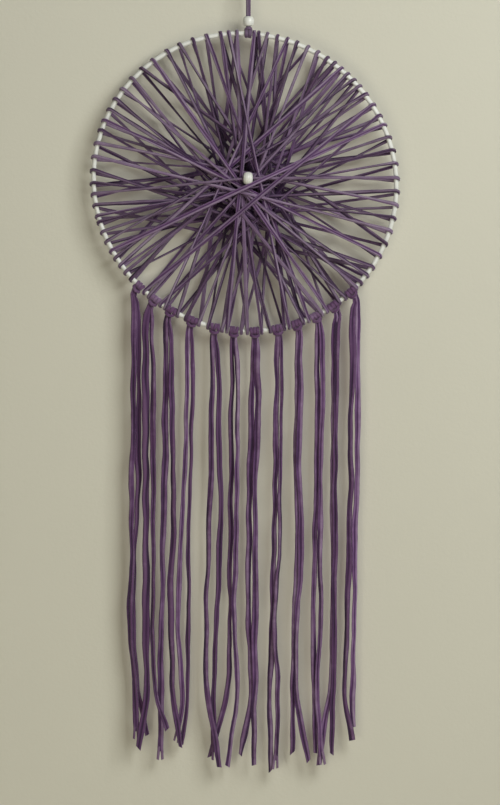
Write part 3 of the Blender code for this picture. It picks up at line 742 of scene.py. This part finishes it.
def make_loop(yarn, material):
    """The hanging loop, from its knot on the hoop up both legs and round the eye."""
    rng = random.Random(SEED + 7)
    skein = Skein()
    tie_knot(skein, LOOP_ANGLE, LOOP_TURNS, LOOP_PITCH, LOOP_COLLAR, 0.4, rng)
    low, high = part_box("hanging_loop")
    foot = HOOP_CENTRE + wire_centre(LOOP_ANGLE) + outward(LOOP_ANGLE) * BAR_OFFSET
    middle = Vector(((low.x + high.x) / 2, foot.y - LEGS_FORWARD, 0))
    eye = (high.x - low.x) / 2 - yarn.loop_thickness / 2
    shoulder = high.z - yarn.loop_thickness / 2 - eye
    neck = shoulder - EYE_HEIGHT
    leg = yarn.loop_thickness * 0.47
    half = [Vector((leg, 0, foot.z - 2 * MM)), Vector((leg, 0, foot.z + 14 * MM)),
            Vector((leg, 0, neck - 5 * MM)), Vector((leg * 1.3, 0, neck + 3 * MM)),
            Vector((eye * 0.62, 0, (neck + shoulder) / 2 + 1 * MM))]
    for step in range(5):
        turn = math.pi / 2 * step / 4
        half.append(Vector((eye * math.cos(turn), 0, shoulder + eye * math.sin(turn))))
    whole = [Vector((-point.x, 0, point.z)) for point in half] + half[-2::-1]
    path = smooth_path([point + middle for point in whole], LOOP_STEP)
    gone = 0.0
    stations = []
    for i, point in enumerate(path):
        gone += (point - path[max(i - 1, 0)]).length
        stations.append(Station(point, FRONT, yarn.loop_thickness * (1.06 + 0.05 * wander(gone * 30, 3)),
                                yarn.loop_thickness * 0.94, groove=90 + 40 * wander(gone * 9, 5),
                                depth=yarn.groove * 0.8, tone=0.55))
    skein.run(stations)
    skein.piece("hanging_loop", material)


def make_web(yarn, material):
    """The whole web as one endless yarn, wound to and fro over the hoop."""
    rng = random.Random(SEED)
    angles = turn_angles()
    front, back = wind_web(yarn, angles)
    runs = []
    for i, pair in enumerate(WINDING):
        following = WINDING[(i + 1) % len(WINDING)][0]
        shown = i / (len(WINDING) - 1)
        runs.append((strand_stations(front[i], FRONT, yarn, rng, pair in TWO_EDGED, shown), FRONT, pair[1]))
        runs.append((strand_stations(back[i], BACK, yarn, rng, False, shown), BACK, following))
    stations = []
    for (run, face, turn), (after, _, _) in zip(runs, runs[1:] + runs[:1]):
        stations += run
        stations += turn_stations(angles[turn], face, yarn, run[-1], after[0])
    skein = Skein()
    skein.run(stations, closed=True)
    skein.piece("web", material)


# ---- hoop and beads ----
COAT_WAVER = 0.018                # how uneven the hoop's coat of paint is
LINE_DEPTH = 0.05 * MM            # of the lines left by turning a bead


def make_hoop(hoop, material):
    """The wire hoop, not quite even, under its coat of paint."""
    rings, sides = 300, 18
    points = []
    for i in range(rings):
        angle = 360 * i / rings
        bend = hoop.waver * wander(math.sin(math.radians(angle)) * 2.2, 4) / 2
        for j in range(sides):
            turn = 2 * math.pi * j / sides
            coat = WIRE_RADIUS * (1 + COAT_WAVER * noise.noise(Vector((angle * 0.9, j * 0.6, 2.5))))
            points.append(HOOP_CENTRE + wire_centre(angle) + outward(angle) * (bend + coat * math.cos(turn))
                          + BACK * coat * math.sin(turn))
    mesh = new_mesh("hoop_wire", points, ring_faces(rings, sides), material)
    dress(new_object("hoop_wire", mesh), "hoop")


BEADS = (                         # node, axis, the axis's name, half the hole's width, proud, slim
    ("centre_bead", Vector((1, 0, 0)), "X", 2.3 * MM, 0.1 * MM, 0.6 * MM),
    ("top_bead", UP, "Z", 2.9 * MM, 0.5 * MM, 0.2 * MM),
)


def make_bead(node, axis, hole, proud, slim, pitch, material):
    """A turned and painted wooden bead with a drilled hole along its axis.

    Its coat stands proud of the solid's radius, and it is slimmer at each end by the slim value.
    """
    low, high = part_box(node)
    size = high - low
    half = size.dot(axis) / 2
    radius = (size.x + size.y + size.z - 2 * half) / 4 + proud
    half -= slim
    lip = radius * 0.38
    rim = [(half, hole + 0.45 * MM), (half - 0.12 * MM, hole + 0.12 * MM), (half - 0.5 * MM, hole)]
    profile = [(-half * 0.2, hole), *[(-along, reach) for along, reach in reversed(rim)]]
    steps = 40
    for step in range(steps + 1):
        turn = math.pi * (step / steps - 0.5)
        along = half * math.sin(turn)
        reach = lip + (radius - lip) * max(0.0, math.cos(turn)) ** 0.8
        profile.append((along, reach + LINE_DEPTH * math.cos(2 * math.pi * along / pitch)))
    profile += rim
    sides = 48
    side = axis.orthogonal().normalized()
    other = axis.cross(side)
    points = []
    for i in range(sides):
        turn = 2 * math.pi * i / sides
        way = side * math.cos(turn) + other * math.sin(turn)
        points += [axis * along + way * reach for along, reach in profile]
    mesh = new_mesh(node + "_turned", points, ring_faces(sides, len(profile)), material, 60)
    bead = new_object(node + "_turned", mesh)
    bead.location = (low + high) / 2
    dress(bead, node)


# ---- shader nodes ----
def add_node(tree, kind, inputs=(), **settings):
    """Add a node, set its properties, and link or set its inputs, given as (socket, value) pairs."""
    made = tree.nodes.new(kind)
    for key, value in settings.items():
        setattr(made, key, value)
    for socket, value in inputs:
        if isinstance(value, bpy.types.NodeSocket):
            tree.links.new(value, made.inputs[socket])
        else:
            made.inputs[socket].default_value = value
    return made


def sum_of(tree, operation, *values, clamp=False):
    """The output of a Math node over values or sockets."""
    made = add_node(tree, "ShaderNodeMath", enumerate(values), operation=operation, use_clamp=clamp)
    return made.outputs[0]


def blend_of(tree, factor, a, b, kind="MIX"):
    """The output of a colour Mix node; sockets 6 and 7 are its two colours."""
    made = add_node(tree, "ShaderNodeMix", ((0, factor), (6, a), (7, b)), data_type="RGBA", blend_type=kind)
    return made.outputs[2]


def new_group(name, inputs, outputs):
    """A shader node group with named float or vector sockets."""
    group = bpy.data.node_groups.new(name, "ShaderNodeTree")
    for title, kind, value in inputs:
        socket = group.interface.new_socket(title, in_out="INPUT", socket_type=kind)
        if value is not None:
            socket.default_value = value
    for title in outputs:
        group.interface.new_socket(title, in_out="OUTPUT", socket_type="NodeSocketFloat")
    return group, group.nodes.new("NodeGroupInput"), group.nodes.new("NodeGroupOutput")


def knit_group():
    """Jersey: columns of small V stitches, from yarn coordinates in metres."""
    tree, given, out = new_group("Jersey knit", (
        ("Vector", "NodeSocketVector", None),
        ("Stitch width", "NodeSocketFloat", 0.8 * MM),
        ("Stitch height", "NodeSocketFloat", 0.6 * MM),
    ), ("Height", "Shade"))
    split = add_node(tree, "ShaderNodeSeparateXYZ", (("Vector", given.outputs["Vector"]),))
    column = sum_of(tree, "FRACT", sum_of(tree, "DIVIDE", split.outputs["X"], given.outputs["Stitch width"]))
    lean = sum_of(tree, "MULTIPLY", sum_of(tree, "ABSOLUTE", sum_of(tree, "SUBTRACT", column, 0.5)), 2.0)
    row = sum_of(tree, "DIVIDE", split.outputs["Y"], given.outputs["Stitch height"])
    row = sum_of(tree, "FRACT", sum_of(tree, "ADD", row, sum_of(tree, "MULTIPLY", lean, 0.6)))
    leg = sum_of(tree, "SINE", sum_of(tree, "MULTIPLY", lean, math.pi))
    bar = sum_of(tree, "SINE", sum_of(tree, "MULTIPLY", row, math.pi))
    height = sum_of(tree, "MULTIPLY", leg, sum_of(tree, "MULTIPLY_ADD", bar, 0.5, 0.5))
    tree.links.new(height, out.inputs["Height"])
    tree.links.new(sum_of(tree, "MULTIPLY_ADD", height, 0.3, 0.7), out.inputs["Shade"])
    return tree


def mottle_group():
    """Uneven colour and a slightly rough surface, coarse and fine."""
    tree, given, out = new_group("Mottle", (
        ("Vector", "NodeSocketVector", None),
        ("Coarse scale", "NodeSocketFloat", 60.0),
        ("Fine scale", "NodeSocketFloat", 900.0),
    ), ("Coarse", "Fine"))
    for title in ("Coarse", "Fine"):
        cloud = add_node(tree, "ShaderNodeTexNoise", (
            ("Vector", given.outputs["Vector"]), ("Scale", given.outputs[title + " scale"]),
            ("Detail", 3.0), ("Roughness", 0.6)))
        tree.links.new(cloud.outputs["Fac"], out.inputs[title])
    return tree


def place_group(tree, name, maker, *inputs):
    """Place a node group, made on its first use, in a material."""
    group = bpy.data.node_groups.get(name) or maker()
    return add_node(tree, "ShaderNodeGroup", inputs, node_tree=group)


def place_mottle(tree, solid, coarse, fine):
    """Place the mottle, at a coarse and a fine scale."""
    return place_group(tree, "Mottle", mottle_group, ("Vector", solid), ("Coarse scale", coarse),
                       ("Fine scale", fine))


def new_material(name, *finish):
    """A material, its nodes, its shader and its solid coordinates.

    What is the same all over its surface is given as (socket, value) pairs.
    """
    material = bpy.data.materials.new(name)
    material.use_nodes = True
    tree = material.node_tree
    shader = tree.nodes["Principled BSDF"]
    for socket, value in finish:
        shader.inputs[socket].default_value = value
    solid = add_node(tree, "ShaderNodeTexCoord").outputs["Object"]
    return material, tree, shader, solid


def tint(tree, shader, share, one, other):
    """Give a shader a colour between two, by a share that changes over the surface."""
    tree.links.new(blend_of(tree, share, one, other), shader.inputs["Base Color"])


def raise_surface(tree, shader, height, strength, distance):
    """Raise the surface of a shader by a height that changes over it."""
    bump = add_node(tree, "ShaderNodeBump", (
        ("Strength", strength), ("Distance", distance), ("Height", height)))
    tree.links.new(bump.outputs["Normal"], shader.inputs["Normal"])


def choose(tree, factor, one, other, output):
    """Show one shader at factor 0 and another at 1."""
    choice = add_node(tree, "ShaderNodeMixShader", (
        (0, factor), (1, one.outputs[0]), (2, other.outputs[0])))
    tree.links.new(choice.outputs[0], tree.nodes[output].inputs["Surface"])


def full(colour, share=1.0):
    """A colour, or a share of it, with full alpha."""
    return (*[channel * share for channel in colour], 1.0)


def jersey_material(name, yarn, strength):
    """Knitted yarn with a soft sheen, its colour darkened by painted shade in its groove and under other
    yarn.
    """
    material = bpy.data.materials.get(name)
    if material:
        return material
    material, tree, shader, solid = new_material(
        name, ("Roughness", 0.68), ("Specular IOR Level", 0.4), ("Sheen Weight", 0.35),
        ("Sheen Roughness", 0.4), ("Sheen Tint", (0.96, 0.92, 0.96, 1.0)))
    strands = add_node(tree, "ShaderNodeUVMap", uv_map="yarn").outputs["UV"]
    knit = place_group(tree, "Jersey knit", knit_group, ("Vector", strands), ("Stitch width", yarn.stitch),
                       ("Stitch height", yarn.stitch * 0.75))
    mottle = place_mottle(tree, solid, coarse=75.0, fine=1100.0)
    tone = add_node(tree, "ShaderNodeAttribute", attribute_name="tone").outputs["Fac"]
    hollow_and_shade = add_node(tree, "ShaderNodeAttribute", attribute_name="hollow_and_shade").outputs["Fac"]
    share = sum_of(tree, "MULTIPLY_ADD", mottle.outputs["Coarse"], 0.9, sum_of(tree, "SUBTRACT", tone, 0.5))
    base = blend_of(tree, sum_of(tree, "MULTIPLY", share, 1.0, clamp=True),
                    full(yarn.colour, strength), full(yarn.pale_colour, strength))
    # Painted shade: the colour falls with the shade mask and between the knit's stitches, green fastest and
    # blue slowest.
    dark = sum_of(tree, "MULTIPLY_ADD", hollow_and_shade, -SHADING, 1.0, clamp=True)
    dark = sum_of(tree, "MAXIMUM", dark, DARKEST)
    deep = sum_of(tree, "POWER", dark, GREEN_FALL)
    shade = knit.outputs["Shade"]
    painted_shade_tint = add_node(tree, "ShaderNodeCombineColor", (
        (0, sum_of(tree, "MULTIPLY", dark, shade)), (1, sum_of(tree, "MULTIPLY", deep, shade)),
        (2, sum_of(tree, "MULTIPLY", sum_of(tree, "POWER", dark, BLUE_FALL), shade)))).outputs[0]
    tree.links.new(blend_of(tree, 1.0, base, painted_shade_tint, "MULTIPLY"), shader.inputs["Base Color"])
    height = sum_of(tree, "MULTIPLY_ADD", mottle.outputs["Fine"], 0.5, knit.outputs["Height"])
    raise_surface(tree, shader, height, strength=0.55, distance=0.18 * MM)
    return material


def paint_material(hoop):
    """Satin paint on wire: a little uneven, greyer where it has been handled."""
    material, tree, shader, solid = new_material("hoop_white_paint", ("Roughness", 0.4))
    mottle = place_mottle(tree, solid, coarse=120.0, fine=1500.0)
    worn = sum_of(tree, "MULTIPLY_ADD", mottle.outputs["Coarse"], 2.2, -1.0, clamp=True)
    tint(tree, shader, worn, full(hoop.colour), full(hoop.colour, 0.82))
    rough = sum_of(tree, "MULTIPLY_ADD", mottle.outputs["Fine"], 0.25, 0.3)
    tree.links.new(rough, shader.inputs["Roughness"])
    raise_surface(tree, shader, mottle.outputs["Fine"], strength=0.35, distance=0.2 * MM)
    return material


def lacquer_material(name, beads, axis_name):
    """Lacquer over turned wood, whose fine lines run round the bead's axis."""
    material, tree, shader, solid = new_material(
        name, ("Roughness", 0.32), ("Coat Weight", 0.25), ("Coat Roughness", 0.25))
    split = add_node(tree, "ShaderNodeSeparateXYZ", (("Vector", solid),))
    mottle = place_mottle(tree, solid, coarse=220.0, fine=1300.0)
    lines = sum_of(tree, "MULTIPLY_ADD", split.outputs[axis_name], 2 * math.pi / beads.line_pitch,
                   sum_of(tree, "MULTIPLY", mottle.outputs["Coarse"], 4.0))
    lines = sum_of(tree, "MULTIPLY_ADD", sum_of(tree, "SINE", lines), 0.5, 0.5)
    share = sum_of(tree, "MULTIPLY", lines, mottle.outputs["Coarse"], clamp=True)
    tint(tree, shader, share, full(beads.colour), full(beads.colour, 0.80))
    height = sum_of(tree, "MULTIPLY_ADD", mottle.outputs["Fine"], 0.4, lines)
    raise_surface(tree, shader, height, strength=0.3, distance=0.12 * MM)
    return material


def plaster_material(name, colour, glow=0.0):
    """A matt plane that shows only from its own side, so that it never stands before the object.

    Its glow is seen by the camera alone, and lights nothing.
    """
    material, tree, shader, solid = new_material(
        name, ("Roughness", 0.95), ("Emission Color", full(colour)))
    mottle = place_mottle(tree, solid, coarse=2.0, fine=260.0)
    tint(tree, shader, mottle.outputs["Coarse"], full(colour, 0.93), full(colour))
    raise_surface(tree, shader, mottle.outputs["Fine"], strength=0.25, distance=0.8 * MM)
    seen = add_node(tree, "ShaderNodeLightPath").outputs["Is Camera Ray"]
    tree.links.new(sum_of(tree, "MULTIPLY", seen, glow), shader.inputs["Emission Strength"])
    behind = add_node(tree, "ShaderNodeNewGeometry").outputs["Backfacing"]
    clear = add_node(tree, "ShaderNodeBsdfTransparent")
    choose(tree, behind, shader, clear, "Material Output")
    return material


# ---- stage ----
def make_plane(name, centre, right, up, half, material):
    """A stage plane whose front looks along right x up."""
    corners = [centre + right * a * half + up * b * half for a, b in ((-1, -1), (1, -1), (1, 1), (-1, 1))]
    mesh = bpy.data.meshes.new(name)
    mesh.from_pydata(corners, [], [(0, 1, 2, 3)])
    mesh.materials.append(material)
    plane = new_object(name, mesh)
    plane.visible_shadow = False


def make_lamp(name, place, target, size, power, colour):
    """A soft lamp of some width and height."""
    data = bpy.data.lights.new(name, "AREA")
    data.shape = "RECTANGLE"
    data.size, data.size_y = size
    data.energy = power
    data.color = colour
    lamp = new_object(name, data)
    lamp.location = place
    lamp.rotation_euler = (Vector(target) - Vector(place)).to_track_quat("-Z", "Y").to_euler()


def make_world(stage):
    """Weak even light from all round, which the camera sees as a plain pale ground."""
    world = bpy.data.worlds.new("studio")
    world.use_nodes = True
    tree = world.node_tree
    dim = tree.nodes["Background"]
    dim.inputs["Color"].default_value = (1.0, 0.93, 0.83, 1.0)
    dim.inputs["Strength"].default_value = stage.sky
    plain = add_node(tree, "ShaderNodeBackground", (("Color", (0.62, 0.61, 0.55, 1.0)),))
    seen = add_node(tree, "ShaderNodeLightPath").outputs["Is Camera Ray"]
    choose(tree, seen, dim, plain, "World Output")
    bpy.context.scene.world = world
    bpy.context.scene.view_settings.view_transform = "Standard"


def make_camera(stage):
    """A level camera in front of the hanging, with the loop's eye above its view."""
    data = bpy.data.cameras.new("camera")
    data.sensor_width = 36.0
    data.lens = data.sensor_width * stage.camera_distance / stage.view_height
    data.clip_end = 50.0
    camera = new_object("camera", data)
    camera.location = HOOP_CENTRE + Vector((stage.view_across, -stage.camera_distance, -stage.view_drop))
    camera.rotation_euler = (math.pi / 2, 0, 0)
    bpy.context.scene.camera = camera


# ---- settings ----
def length_of(name, description, default, least=0.0):
    """A setting in metres."""
    return bpy.props.FloatProperty(name=name, description=description, default=default, min=least,
                                   unit="LENGTH")


def colour_of(name, description, default):
    """A setting that is a colour."""
    return bpy.props.FloatVectorProperty(name=name, description=description, default=default, size=3,
                                         subtype="COLOR", min=0.0, max=1.0)


def power_of(name, description, default):
    """A setting that is a lamp's power in watts."""
    return bpy.props.FloatProperty(name=name, description=description, default=default, min=0.0,
                                   unit="POWER")


class DREAM_PG_yarn(bpy.types.PropertyGroup):
    """The jersey yarn of the web, the loop and the tassels."""
    web_width: length_of("Web width", "Mean width of the yarn drawn tight across the hoop", 3.25 * MM)
    web_thickness: length_of("Web thickness", "Thickness of the yarn in the web", 2.0 * MM)
    lay: length_of("Lay", "How far a strand of the web lifts one that crosses over it", 1.1 * MM)
    strand_thickness: length_of("Tassel strand thickness", "Thickness of a hanging strand", 2.8 * MM)
    layer_pitch: length_of(
        "Layer pitch", "From one layer of hanging strands to the one behind it", 3.1 * MM)
    kink: length_of("Kink", "How far a hanging strand strays from its smooth line", 1.0 * MM)
    loop_thickness: length_of("Loop thickness", "Thickness of the hanging loop's yarn", 2.4 * MM)
    groove: bpy.props.FloatProperty(
        name="Groove", description="Depth of the groove between the rolled edges, as a share",
        default=0.52, min=0.0, max=0.7, subtype="FACTOR")
    stitch: length_of("Stitch", "Width of one stitch of the jersey", 0.8 * MM, 0.1 * MM)
    # The yarn's tone runs between these two colours at random, and in the web also by layer: lower strands
    # darker and upper ones paler, as painted shade and light.
    colour: colour_of("Colour", "Dyed colour of the yarn", (0.082, 0.0385, 0.088))
    pale_colour: colour_of(
        "Pale colour", "Colour of the yarn where the dye is thin", (0.345, 0.282, 0.362))


class DREAM_PG_hoop(bpy.types.PropertyGroup):
    """The painted wire hoop."""
    waver: length_of("Waver", "How far the bent wire strays from a true circle", 0.25 * MM)
    colour: colour_of("Colour", "Colour of the hoop's paint", (0.70, 0.71, 0.66))


class DREAM_PG_beads(bpy.types.PropertyGroup):
    """The two lacquered wooden beads."""
    line_pitch: length_of(
        "Line pitch", "Distance between the fine lines left by turning", 1.9 * MM, 0.1 * MM)
    colour: colour_of("Colour", "Colour of the lacquer", (0.71, 0.72, 0.66))


class DREAM_PG_stage(bpy.types.PropertyGroup):
    """The wall, the floor, the lamps and the camera."""
    wall_gap: length_of("Wall gap", "From the middle of the hoop to the wall", 18.2 * MM)
    wall_colour: colour_of("Wall colour", "Colour of the wall's paint", (0.60, 0.585, 0.485))
    floor_colour: colour_of("Floor colour", "Colour of the floor", (0.52, 0.51, 0.47))
    floor_drop: length_of("Floor drop", "From the loop's top to the floor", 1.35, 0.9)
    camera_distance: length_of("Camera distance", "From the camera to the hoop's plane", 8.0, 0.5)
    view_height: length_of("View height", "Height of the view at the hoop's plane", 0.805, 0.1)
    view_across: length_of(
        "View across", "From the hoop's centre to the middle of the view, sideways", 5.1 * MM, -1.0)
    view_drop: length_of(
        "View drop", "From the hoop's centre down to the middle of the view", 220.2 * MM, -1.0)
    key_power: power_of("Key power", "Power of the main lamp", 37.0)
    fill_power: power_of("Fill power", "Power of the second lamp", 17.0)
    rear_power: power_of("Rear power", "Power of the lamp behind the hanging", 50.0)
    sky: bpy.props.FloatProperty(
        name="Sky", description="Strength of the even light from all round", default=0.04, min=0.0)


# ---- operators ----
class DREAM_OT_hoop(bpy.types.Operator):
    """Bend and paint the wire hoop"""
    bl_idname = "dream.hoop"
    bl_label = "Wire hoop"

    def execute(self, context):
        hoop = context.scene.dream_hoop
        make_hoop(hoop, paint_material(hoop))
        return {"FINISHED"}


class DREAM_OT_web(bpy.types.Operator):
    """Wind the yarn web over the hoop"""
    bl_idname = "dream.web"
    bl_label = "Yarn web"

    def execute(self, context):
        yarn = context.scene.dream_yarn
        make_web(yarn, jersey_material("web_jersey", yarn, 1.0))
        return {"FINISHED"}


class DREAM_OT_beads(bpy.types.Operator):
    """Turn the bead in the web and the bead on the loop"""
    bl_idname = "dream.beads"
    bl_label = "Beads"

    def execute(self, context):
        beads = context.scene.dream_beads
        for bead, axis, title, hole, proud, slim in BEADS:
            make_bead(bead, axis, hole, proud, slim, beads.line_pitch,
                      lacquer_material(bead + "_lacquer", beads, title))
        return {"FINISHED"}


class DREAM_OT_loop(bpy.types.Operator):
    """Knot the hanging loop on the hoop's top"""
    bl_idname = "dream.loop"
    bl_label = "Hanging loop"

    def execute(self, context):
        yarn = context.scene.dream_yarn
        # The loop's copy of the yarn is drawn a little darker than the web's: painted shade.
        make_loop(yarn, jersey_material("loop_jersey", yarn, 0.95))
        return {"FINISHED"}


class DREAM_OT_tassels(bpy.types.Operator):
    """Knot the tassels on the hoop's lower arc and let them hang"""
    bl_idname = "dream.tassels"
    bl_label = "Tassels"

    def execute(self, context):
        yarn = context.scene.dream_yarn
        # The tassels' copy of the yarn is drawn 1.72 times as bright as the web's: painted light.
        material = jersey_material("tassel_jersey", yarn, 1.72)
        for number in range(len(TASSEL_KNOTS)):
            make_tassel(number, yarn, material)
        return {"FINISHED"}


class DREAM_OT_stage(bpy.types.Operator):
    """Set up the wall, the floor, the lamps and the camera"""
    bl_idname = "dream.stage"
    bl_label = "Stage"

    def execute(self, context):
        stage = context.scene.dream_stage
        right = Vector((1, 0, 0))
        wall_place = Vector((0, HOOP_CENTRE.y + stage.wall_gap, -0.4))
        make_plane("wall", wall_place, right, UP, 6.0, plaster_material("wall_paint", stage.wall_colour))
        floor_place = Vector((0, 0, -stage.floor_drop))
        make_plane("floor", floor_place, right, BACK, 8.0,
                   plaster_material("floor_paint", stage.floor_colour, 0.3))
        target = HOOP_CENTRE + Vector((0, 0, -0.15))
        make_lamp("key_lamp", (1.05, -1.5, 0.6), target, (1.3, 1.1), stage.key_power, (0.98, 1.0, 1.0))
        make_lamp("fill_lamp", (-0.5, -2.3, -1.2), target, (1.4, 1.4), stage.fill_power, (1.0, 0.92, 0.76))
        make_lamp("rear_lamp", (0.7, 2.3, 0.1), target, (2.0, 2.0), stage.rear_power, (1.0, 1.0, 1.0))
        make_world(stage)
        make_camera(stage)
        return {"FINISHED"}


STEPS = (DREAM_OT_stage, DREAM_OT_hoop, DREAM_OT_web, DREAM_OT_beads, DREAM_OT_loop, DREAM_OT_tassels)
SETTINGS = (("dream_yarn", DREAM_PG_yarn), ("dream_hoop", DREAM_PG_hoop),
            ("dream_beads", DREAM_PG_beads), ("dream_stage", DREAM_PG_stage))


class DREAM_PT_panel(bpy.types.Panel):
    """Settings and steps of the dream catcher"""
    bl_idname = "DREAM_PT_panel"
    bl_label = "Dream catcher"
    bl_space_type = "VIEW_3D"
    bl_region_type = "UI"
    bl_category = "Dream catcher"

    def draw(self, context):
        for title, kind in SETTINGS:
            box = self.layout.box()
            for key in kind.__annotations__:
                box.prop(getattr(context.scene, title), key)
        for step in STEPS:
            self.layout.operator(step.bl_idname)


CLASSES = (*[kind for _, kind in SETTINGS], *STEPS, DREAM_PT_panel)


def register():
    for kind in CLASSES:
        bpy.utils.register_class(kind)
    for title, kind in SETTINGS:
        setattr(bpy.types.Scene, title, bpy.props.PointerProperty(type=kind))


def unregister():
    for title, _ in SETTINGS:
        delattr(bpy.types.Scene, title)
    for kind in reversed(CLASSES):
        bpy.utils.unregister_class(kind)


def main():
    register()
    bpy.ops.dream.stage()
    bpy.ops.dream.hoop()
    bpy.ops.dream.web()
    bpy.ops.dream.beads()
    bpy.ops.dream.loop()
    bpy.ops.dream.tassels()


if __name__ == "__main__":
    main()
